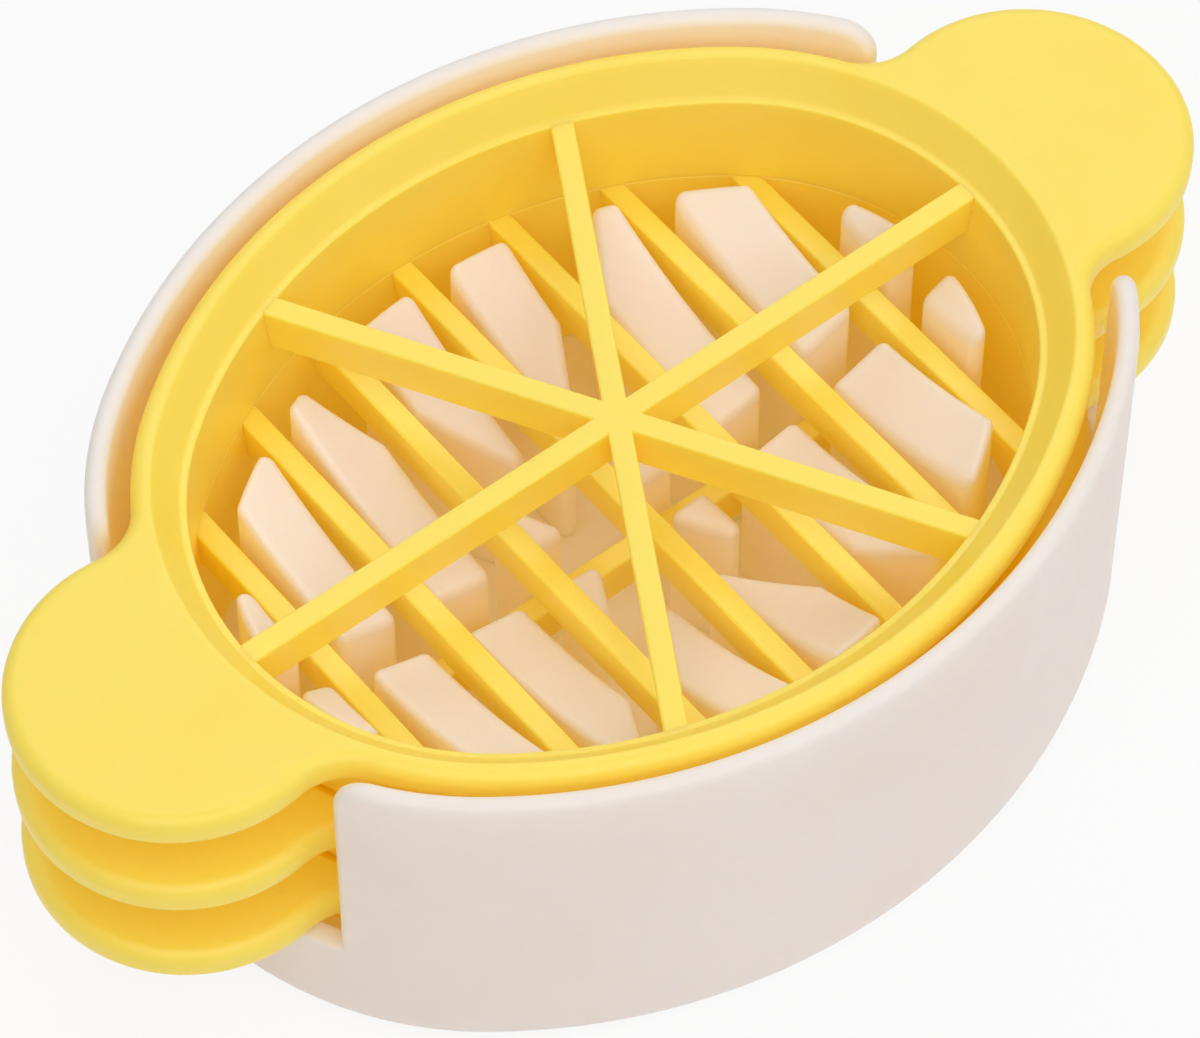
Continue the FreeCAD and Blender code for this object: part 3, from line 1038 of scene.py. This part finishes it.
class EGGSLICER_OT_spokes(Operator):
    """Build the halving blade and the six spokes of the wedge frame"""
    bl_idname = "eggslicer.spokes"
    bl_label = "Halving blade and wedge spokes"

    def execute(self, context):
        settings = context.scene.egg_slicer
        rim, blade = settings.rim, settings.blade
        oval = opening_oval(rim)
        plastic = yellow_plastic(settings.finish)
        bar = spokes(blade, oval, blade_top(rim, "halving_rim"), [0.0, math.pi], "halving_blade_bar")
        dress(bar, plastic, "halving_frame", ["halving_blade"])
        turn = blade.wedge_angle
        angles = [0.0, turn, math.pi - turn, math.pi, math.pi + turn, math.tau - turn]
        star = spokes(blade, oval, blade_top(rim, "wedge_rim"), angles, "wedge_spokes")
        dress(star, plastic, "wedge_frame", solids("wedge_blade_"))
        return {"FINISHED"}


class EGGSLICER_OT_slicing_blades(Operator):
    """Build the slicing frame's row of parallel blades"""
    bl_idname = "eggslicer.slicing_blades"
    bl_label = "Slicing blades"

    def execute(self, context):
        settings = context.scene.egg_slicer
        piece = row_of_blades(settings, blade_top(settings.rim, "slicing_rim"), "slicing_blades")
        plastic = yellow_plastic(settings.finish)
        dress(piece, plastic, "slicing_frame", solids("slicing_blade_"))
        return {"FINISHED"}


def seen_plainly(nodes):
    """1 for rays that show the backdrop itself, straight, mirrored or through glass, 0 for its light."""
    path = nodes.add("ShaderNodeLightPath")
    seen = path.out("Is Camera Ray").largest(path.out("Is Glossy Ray"))
    return seen.largest(path.out("Is Transmission Ray"))


def pale_floor(stage):
    """White for the camera with the object's soft shadow kept, and a plain pale floor for the light."""
    material, nodes = new_material("pale floor")
    seen = seen_plainly(nodes)
    place = nodes.add("ShaderNodeTexCoord").out("Object")
    mottle = nodes.add("ShaderNodeTexNoise", {}, {"Vector": place, "Scale": 6.0, "Detail": 2.0})
    shade = nodes.shade(mottle, stage.floor, stage.floor_mottle)
    matt = nodes.add("ShaderNodeBsdfDiffuse", {}, {"Color": shade})
    white = nodes.add("ShaderNodeEmission", {}, {"Color": (1, 1, 1, 1), "Strength": 1.0})
    mixed = nodes.add("ShaderNodeMixShader", {}, {0: seen * stage.floor_white, 1: matt, 2: white})
    nodes.add("ShaderNodeOutputMaterial", {}, {"Surface": mixed})
    return material


def floor_piece(bowl, end_angle, stage, name):
    """Round floor, a hair under the bowl and open below it, so that the underside shows from below."""
    foot = Oval(bowl.half_length, bowl.half_width, end_angle)
    turns = [math.tau * index / FLOOR_POINTS for index in range(FLOOR_POINTS)]
    reach = stage.reach
    skin = Skin()
    edge = skin.row([(reach * math.cos(turn), reach * math.sin(turn), -HAIR) for turn in turns])
    hole = skin.row([(*foot.point(turn, -bowl.foot_round - FLOOR_LAP), -HAIR) for turn in turns])
    skin.bridge(edge, hole)
    return skin.piece(name, SHELL_CREASE)


def studio_sky(stage):
    """Even white light from all round, plain white where it is seen."""
    world = bpy.data.worlds.new("studio")
    world.use_nodes = True
    world.node_tree.nodes.clear()
    nodes = Nodes(world.node_tree)
    seen = seen_plainly(nodes)
    strength = seen + (1 - seen) * stage.sky
    sky = nodes.add("ShaderNodeBackground", {}, {"Color": (1, 1, 1, 1), "Strength": strength})
    nodes.add("ShaderNodeOutputWorld", {}, {"Surface": sky})
    return world


def aimed(name, data, place, aim):
    """Puts a lamp or camera at a place, turned to the aim."""
    holder = bpy.data.objects.new(name, data)
    holder.location = place
    holder.rotation_euler = (Vector(aim) - Vector(place)).to_track_quat("-Z", "Y").to_euler()
    bpy.context.scene.collection.objects.link(holder)
    return holder


def add_lamp(name, place, energy, stage):
    """A square soft box that faces the lamps' aim."""
    lamp = bpy.data.lights.new(name, "AREA")
    lamp.shape = "RECTANGLE"
    lamp.size = stage.lamp_side
    lamp.size_y = stage.lamp_side
    lamp.energy = energy
    aimed(name, lamp, place, stage.lamp_aim)


class EGGSLICER_OT_stage(Operator):
    """Build the pale floor, the soft lamps and the camera"""
    bl_idname = "eggslicer.stage"
    bl_label = "Floor, light and camera"

    def execute(self, context):
        scene = context.scene
        settings = scene.egg_slicer
        stage = settings.stage
        ground = floor_piece(settings.bowl, settings.rim.end_angle, stage, "floor")
        ground.data.materials.append(pale_floor(stage))
        scene.world = studio_sky(stage)
        add_lamp("key soft box", stage.key_place, stage.key, stage)
        add_lamp("front soft box", stage.fill_place, stage.fill, stage)
        add_lamp("back soft box", stage.back_place, stage.back, stage)
        camera = bpy.data.cameras.new("camera")
        camera.lens = stage.lens
        camera.sensor_width = 36.0
        camera.clip_start = 0.01
        scene.camera = aimed("camera", camera, stage.camera, stage.aim)
        scene.view_settings.view_transform = "Standard"
        return {"FINISHED"}


class EGGSLICER_PT_sidebar(Panel):
    """Sizes, finishes and build steps of the egg slicer"""
    bl_idname = "EGGSLICER_PT_sidebar"
    bl_label = "Egg slicer"
    bl_space_type = "VIEW_3D"
    bl_region_type = "UI"
    bl_category = "Egg slicer"

    def draw(self, context):
        settings = context.scene.egg_slicer
        for operator in OPERATORS:
            self.layout.operator(operator.bl_idname)
        for label in ("rim", "blade", "bowl", "cradle", "finish", "stage"):
            group = getattr(settings, label)
            box = self.layout.box()
            box.label(text=label.capitalize())
            for key in group.__annotations__:
                box.prop(group, key)


OPERATORS = (EGGSLICER_OT_bowl, EGGSLICER_OT_cradle, EGGSLICER_OT_rims, EGGSLICER_OT_spokes,
             EGGSLICER_OT_slicing_blades, EGGSLICER_OT_stage)
GROUPS = (RimSizes, BladeSizes, BowlSizes, CradleSizes, Finishes, StageSettings, SlicerSettings)
CLASSES = GROUPS + OPERATORS + (EGGSLICER_PT_sidebar,)


def register():
    for item in CLASSES:
        bpy.utils.register_class(item)
    bpy.types.Scene.egg_slicer = PointerProperty(type=SlicerSettings)


def unregister():
    del bpy.types.Scene.egg_slicer
    for item in reversed(CLASSES):
        bpy.utils.unregister_class(item)


def main():
    register()
    bpy.ops.eggslicer.bowl()
    bpy.ops.eggslicer.cradle()
    bpy.ops.eggslicer.rims()
    bpy.ops.eggslicer.spokes()
    bpy.ops.eggslicer.slicing_blades()
    bpy.ops.eggslicer.stage()


if __name__ == "__main__":
    main()
